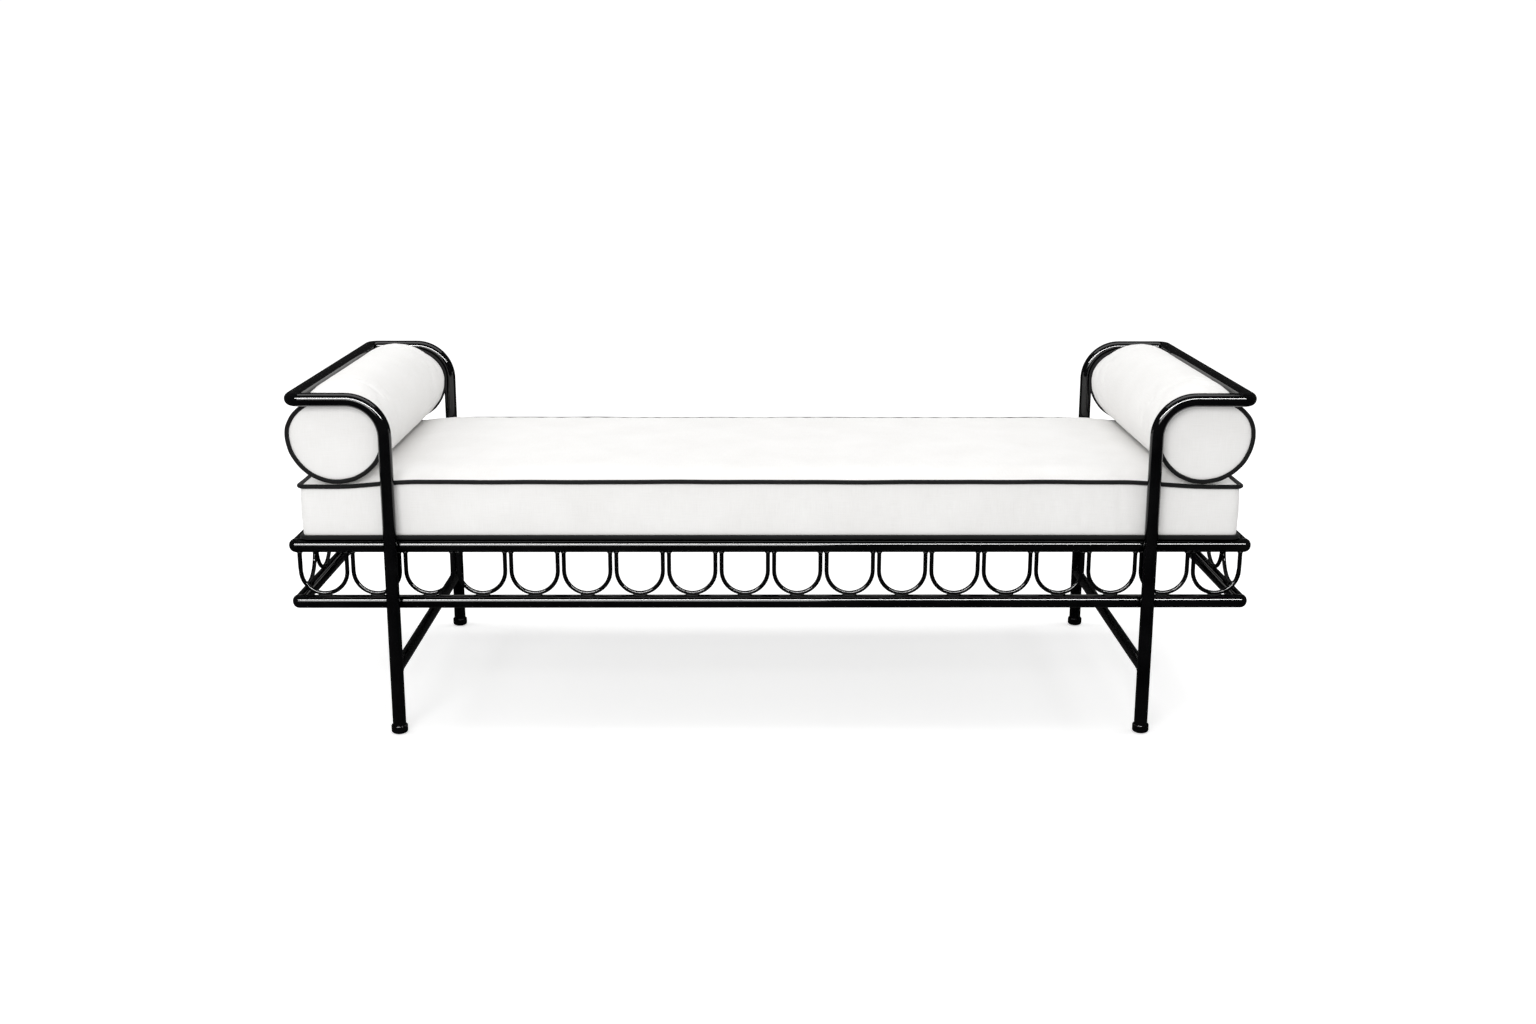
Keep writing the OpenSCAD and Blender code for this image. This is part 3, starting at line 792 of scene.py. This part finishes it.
def bolster(side):
    """Closed cover, filled by simulation, puckered at its seams and dented by the arm tube."""
    name = "right" if side > 0 else "left"
    body = f"{name}_bolster"
    centre = np.array((side * BOLSTER_X, 0.0, BOLSTER_Z))
    points, faces, threads, seams = bolster_shape(centre, cells=28, along=116)
    cover = make(f"{name}_bolster_cover", points, faces, CANVAS, body)
    thread_map(cover, threads)
    inflate(cover, seams, frames=16, cap=0.003, slack=0.006, mass=0.15)

    points = points_of(cover.data)
    turn = np.arctan2(points[:, 2] - BOLSTER_Z, points[:, 0] - side * BOLSTER_X)
    from_axis = np.hypot(points[:, 2] - BOLSTER_Z, points[:, 0] - side * BOLSTER_X)
    from_seam = np.hypot(np.abs(points[:, 1]) - RING_Y, np.minimum(from_axis - SLEEVE_SEAM_R, 0))
    wave = ripple(24 * turn + 3 * np.sign(points[:, 1]), 2 if side > 0 else 6)
    pucker = wave * np.exp(-from_seam / PUCKER_REACH) * ease(from_seam / 0.004)
    points += normals_of(cover.data) * (PUCKER * pucker)[:, None]
    set_points(cover.data, clear_of_arm(slump(points), side, RAIL_R + TOUCHING))
    refine(cover)
    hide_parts(*(f"{name}_bolster_{part}"
                         for part in ("sleeve", "front_disc", "back_disc", "wadding", "foam")))
    for end, y in (("front", -RING_Y), ("back", RING_Y)):
        bolster_cord(side, name, body, end, y)
    out = Vector((side * math.cos(ZIP_TILT), 0, -math.sin(ZIP_TILT)))
    zip_fastener(f"{name}_bolster_zip", body, cover, BOLSTER_ZIP,
                 Vector(centre) + out * BOLSTER_R, Vector((0, 1, 0)), out)


def bolster_cord(side, name, body, end, y):
    """Cord round one end of a bolster, pushed in by the arm tube as the cover is."""
    turn = np.linspace(0, 2 * math.pi, 180, endpoint=False)
    wobble = 0.0004 * ripple(5 * turn, 4 if end == "front" else 9)
    path = np.column_stack([
        side * BOLSTER_X + (RING_R + wobble) * np.cos(turn), np.full(len(turn), y * CORD_PROUD),
        BOLSTER_Z + (RING_R + wobble) * np.sin(turn),
    ])
    path = clear_of_arm(slump(path), side, RAIL_R + CORD_R + 0.0004)
    points, faces, threads = closed_tube(path, CORD_R, np.array((0.0, 1.0, 0.0)))
    cord = make(f"{name}_bolster_{end}_cord", points, faces, PIPING, body)
    thread_map(cord, threads)
    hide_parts(f"{name}_bolster_{end}_piping")


# ---------- welds ----------

def scallop_foot(shape, place, flat, rod_outer):
    """Weld that fills the wedge between a scallop's lowest point and the lower rail."""
    rings = []
    for t in np.linspace(-1, 1, 17):
        offset = t * WELD_REACH
        rod = rod_outer - math.sqrt(rod_outer ** 2 - offset ** 2)
        taper = math.sqrt(max(0.0, 1 - abs(t) ** 3))
        half_h = rod / 2 + 0.0009 * taper + 0.0001
        half_w = 0.0036 * taper + 0.0003
        middle_z = rod / 2 - 0.0004
        ring = []
        for a in np.arange(10) * 2 * math.pi / 10:
            lump = 1 + 0.07 * math.sin(27 * t + 2 * a + 40 * place.x)
            ring.append(place + flat * offset
                        + Vector((-flat.y, flat.x, 0)) * (half_w * lump * math.cos(a))
                        + Vector((0, 0, middle_z + half_h * math.sin(a))))
        rings.append(ring)
    shape.rings(rings)


def scallop_top(shape, place):
    """Fillet round a rod where it meets the underside of the upper rail."""
    rings = []
    for rise, flare in ((-0.0038, -0.0002), (-0.0022, 0.0005), (-0.0008, 0.0014), (0.0012, 0.0026)):
        ring = []
        for a in np.arange(14) * 2 * math.pi / 14:
            reach = ROD_R + flare * (1 + 0.15 * math.sin(3 * a + 50 * place.x))
            ring.append(place + Vector((reach * math.cos(a), reach * math.sin(a), rise)))
        rings.append(ring)
    shape.rings(rings)


def scallop_welds(name, count, span, flat, origin, rail_r):
    """Welds at the foot and both tops of every scallop in a row."""
    shape = Mesh()
    pitch = span / count
    width = pitch - SCALLOP_GAP
    for i in range(count):
        base = origin + flat * ((i - (count - 1) / 2) * pitch)
        scallop_foot(shape, base + Vector((0, 0, LOWER_Z + rail_r)), flat, width / 2)
        for s in (-1, 1):
            arm = base + flat * (s * (width / 2 - ROD_R))
            scallop_top(shape, arm + Vector((0, 0, UPPER_Z - rail_r)))
    make(name, shape.points, shape.faces, WELD, "frame")


def all_scallop_welds():
    """Welds of the two long and the two short rows."""
    along_x, along_y = Vector((1, 0, 0)), Vector((0, 1, 0))
    for name, y in (("front", -RAIL_Y), ("back", RAIL_Y)):
        scallop_welds(f"{name}_scallop_welds", LONG_ROW, 2 * RAIL_X, along_x, Vector((0, y, 0)), RAIL_R)
    for name, x in (("left", -RAIL_X), ("right", RAIL_X)):
        span = 2 * RAIL_Y - 2 * RAIL_R
        scallop_welds(f"{name}_scallop_welds", SHORT_ROW, span, along_y, Vector((x, 0, 0)), END_RAIL_R)


def bead(shape, path, outward, radius, seed, closed=True):
    """Round weld bead along a path, with the ripples of the weld pool."""
    count = len(path)
    rings = []
    for i, point in enumerate(path):
        before = path[(i - 1) % count if closed else max(i - 1, 0)]
        after = path[(i + 1) % count if closed else min(i + 1, count - 1)]
        tangent = (after - before).normalized()
        lift = (outward[i] - tangent * outward[i].dot(tangent)).normalized()
        side = tangent.cross(lift)
        lump = radius * (1 + 0.10 * math.sin(2.1 * i + seed) + 0.05 * math.sin(0.7 * i + 2 * seed))
        rings.append([point + side * (lump * math.cos(a)) + lift * (lump * math.sin(a))
                      for a in np.arange(BEAD_SIDES) * 2 * math.pi / BEAD_SIDES])
    if closed:
        start = len(shape.points)
        shape.rings(rings, closed_ends=False)
        last = start + (count - 1) * BEAD_SIDES
        for b in range(BEAD_SIDES):
            c = (b + 1) % BEAD_SIDES
            shape.faces.append((last + b, last + c, start + c, start + b))
    else:
        shape.rings(rings)


def crossing_beads():
    """Beads that fill the gap round each place where a rail lies against a leg."""
    shape = Mesh()
    for sx in (-1, 1):
        for sy in (-1, 1):
            for z in (LOWER_Z, UPPER_Z):
                path, outward = [], []
                for a in np.linspace(0, 2 * math.pi, 44, endpoint=False):
                    x, h = CROSSING_RING * math.cos(a), CROSSING_RING * math.sin(a)
                    leg = RAIL_R - math.sqrt(RAIL_R ** 2 - x ** 2)
                    rail = RAIL_R - math.sqrt(RAIL_R ** 2 - h ** 2)
                    y = sy * (LEG_Y - RAIL_R + (leg - rail) / 2)
                    path.append(Vector((sx * LEG_X + x, y, z + h)))
                    outward.append(Vector((math.cos(a), 0, math.sin(a))))
                bead(shape, path, outward, 0.0027, 3 * sx + 5 * sy + 40 * z)
    piece = make("crossing_welds", shape.points, shape.faces, WELD, "frame")
    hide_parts("leg_welds")


def coped_beads():
    """Beads where the stretchers meet the legs and the short rails meet the long rails."""
    shape = Mesh()
    for sx in (-1, 1):
        for sy in (-1, 1):
            path, outward = [], []
            for a in np.linspace(0, 2 * math.pi, 40, endpoint=False):
                x, h = STRETCHER_R * math.cos(a), STRETCHER_R * math.sin(a)
                y = sy * (LEG_Y - math.sqrt(RAIL_R ** 2 - x ** 2))
                path.append(Vector((sx * LEG_X + x, y, STRETCHER_Z + h)))
                outward.append(Vector((math.cos(a), -0.7 * sy, math.sin(a))))
            bead(shape, path, outward, 0.0016, sx + 2 * sy)
            for z in (LOWER_Z, UPPER_Z):
                path, outward = [], []
                for a in np.linspace(0, 2 * math.pi, 40, endpoint=False):
                    x, h = END_RAIL_R * math.cos(a), END_RAIL_R * math.sin(a)
                    off = x * x + h * h if x * sx > 0 else h * h
                    y = sy * (RAIL_Y - math.sqrt(max(RAIL_R ** 2 - off, 0)))
                    path.append(Vector((sx * RAIL_X + x, y, z + h)))
                    outward.append(Vector((math.cos(a), -0.5 * sy, math.sin(a))))
                bead(shape, path, outward, 0.0012, 7 * sx + sy + 30 * z)
    make("coped_welds", shape.points, shape.faces, WELD, "frame")


def slat_beads():
    """Short beads under each end of every slat and where the spine crosses the slats."""
    shape = Mesh()
    pitch = 2 * RAIL_X / SLATS
    reach = math.sqrt(RAIL_R ** 2 - (SLAT_BOTTOM - UPPER_Z) ** 2)
    for i in range(SLATS):
        x = (i - (SLATS - 1) / 2) * pitch
        for sy in (-1, 1):
            y = sy * (RAIL_Y - reach)
            path = [Vector((x + t, y, SLAT_BOTTOM)) for t in np.linspace(-SLAT_BEAD, SLAT_BEAD, 20)]
            bead(shape, path, [Vector((0, -sy, -1))] * 20, 0.0022, x * 9 + sy, closed=False)
            y = sy * SPINE_HALF
            path = [Vector((x + t, y, SLAT_BOTTOM)) for t in np.linspace(-SPINE_BEAD, SPINE_BEAD, 14)]
            bead(shape, path, [Vector((0, sy, -1))] * 14, 0.0015, x * 7 + sy, closed=False)
    make("slat_welds", shape.points, shape.faces, WELD, "frame")


# ---------- studio ----------

def pale_floor():
    """Floor that glows less near the daybed, a painted shade under and round it, and more away from it, so
    it runs into the white surround.
    """
    half = 40
    corners = [(-half, -half, 0), (half, -half, 0), (half, half, 0), (-half, half, 0)]
    mesh = bpy.data.meshes.new("floor")
    mesh.from_pydata(corners, [], [(0, 1, 2, 3)])
    floor = bpy.data.objects.new("floor", mesh)
    SCENE.collection.objects.link(floor)
    n = Nodes("pale_floor")
    n.set(Base_Color=(0.86, 0.86, 0.86, 1), Roughness=0.9, Specular_IOR_Level=0.0)
    n.set(Emission_Color=(1, 1, 1, 1))
    # glow rises with distance from the daybed; the lower glow near it is painted shade
    reach = n.math("SUBTRACT", n.length(n.new("TexCoord").outputs["Object"]), 1.3)
    share = n.math("MINIMUM", n.math("MAXIMUM", n.math("MULTIPLY", reach, 0.5), 0.0), 1.0)
    glow = n.math("ADD", n.math("MULTIPLY", share, FLOOR_GLOW[1] - FLOOR_GLOW[0]), FLOOR_GLOW[0])
    n.link(glow, n.shader.inputs["Emission Strength"])
    output = n.tree.nodes["Material Output"]
    bounced = swap_for_rays(n.tree, "Is Diffuse Ray", n.shader.outputs[0], FLOOR_BOUNCE)
    mirrored = swap_for_rays(n.tree, "Is Glossy Ray", bounced, FLOOR_MIRRORED)
    n.link(mirrored, output.inputs["Surface"])
    mesh.materials.append(n.material)
    floor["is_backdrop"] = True


def white_surround():
    """World that is white to the camera, softer as a light and dark in gloss paint."""
    world = bpy.data.worlds.new("studio")
    world.use_nodes = True
    SCENE.world = world
    tree = world.node_tree
    light = tree.nodes["Background"]
    light.inputs["Color"].default_value = (1, 1, 1, 1)
    light.inputs["Strength"].default_value = SURROUND
    seen = tree.nodes.new("ShaderNodeBackground")
    seen.inputs["Color"].default_value = (1, 1, 1, 1)
    seen.inputs["Strength"].default_value = 1.05
    ray = tree.nodes.new("ShaderNodeLightPath")
    mix = tree.nodes.new("ShaderNodeMixShader")
    tree.links.new(ray.outputs["Is Camera Ray"], mix.inputs[0])
    tree.links.new(light.outputs[0], mix.inputs[1])
    tree.links.new(seen.outputs[0], mix.inputs[2])
    mirrored = swap_for_rays(tree, "Is Glossy Ray", mix.outputs[0], SURROUND_MIRRORED,
                             kind="ShaderNodeBackground")
    tree.links.new(mirrored, tree.nodes["World Output"].inputs["Surface"])


def lamps():
    """Soft lights all round, and a narrow strip that only the metal mirrors."""
    area_light("overhead", (0.0, 0.2, 3.2), (0, 0, 0.4), 3.2, 1.8, 32)
    for side, x in (("left", -2.6), ("right", 2.6)):
        lamp = area_light(f"{side}_side", (x, 0.3, 2.3), (0, 0, 0.4), 1.6, 1.6, 20)
        lamp.visible_glossy = False
    area_light("front_fill", (-0.8, -3.7, 1.9), (0, 0, 0.4), 2.2, 1.6, 74)
    metal = bpy.data.collections.new("metal")
    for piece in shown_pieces():
        slots = [m.name for m in piece.data.materials if m]
        if any(m in slots for m in (PAINT.name, WELD.name, DECK.name, NICKEL.name)):
            metal.objects.link(piece)
    strip = area_light("strip", (0.0, -2.35, 1.95), (0, 0, 0.32), 4.4, 0.20, STRIP_POWER)
    strip.light_linking.receiver_collection = metal
    strip.visible_diffuse = False


def swap_for_rays(tree, rays, shader, strength, kind="ShaderNodeEmission"):
    """Gives one kind of ray an even grey instead of a shader."""
    grey = tree.nodes.new(kind)
    grey.inputs["Color"].default_value = (1, 1, 1, 1)
    grey.inputs["Strength"].default_value = strength
    ray = tree.nodes.new("ShaderNodeLightPath")
    mix = tree.nodes.new("ShaderNodeMixShader")
    tree.links.new(ray.outputs[rays], mix.inputs[0])
    tree.links.new(shader, mix.inputs[1])
    tree.links.new(grey.outputs[0], mix.inputs[2])
    return mix.outputs[0]


def area_light(name, place, target, width, height, power):
    """Rectangular lamp that points at a target."""
    light = bpy.data.lights.new(name, "AREA")
    light.shape = "RECTANGLE"
    light.size, light.size_y = width, height
    light.energy = power
    lamp = bpy.data.objects.new(name, light)
    lamp.location = place
    lamp.rotation_euler = (Vector(target) - Vector(place)).to_track_quat("-Z", "Y").to_euler()
    SCENE.collection.objects.link(lamp)
    return lamp


def camera():
    """Seen from the front, a little above."""
    data = bpy.data.cameras.new("camera")
    data.lens, data.sensor_width = 39.53, 36
    data.clip_end = 200
    yaw, pitch, roll = 0.0086, 0.24, 0.002
    forward = Vector((math.sin(yaw) * math.cos(pitch), math.cos(yaw) * math.cos(pitch), -math.sin(pitch)))
    right = forward.cross(Vector((0, 0, 1))).normalized()
    lift = right.cross(forward)
    basis = Matrix((right, lift, -forward)).transposed()
    place = bpy.data.objects.new("camera", data)
    place.matrix_world = Matrix.Translation((-0.0325, -3.409, 1.1875)) @ (
        basis @ Matrix.Rotation(roll, 3, "Z")).to_4x4()
    SCENE.collection.objects.link(place)
    SCENE.camera = place
    view = SCENE.view_settings
    view.view_transform = "Standard"
    view.use_curve_mapping = True
    view.curve_mapping.black_level = (BLACK_LEVEL,) * 3
    view.curve_mapping.update()


# ---------- the scene ----------

camera()
dress_cad_nodes()
mattress()
mattress_piping()
bolster(-1)
bolster(1)
all_scallop_welds()
crossing_beads()
coped_beads()
slat_beads()
pale_floor()
white_surround()
lamps()
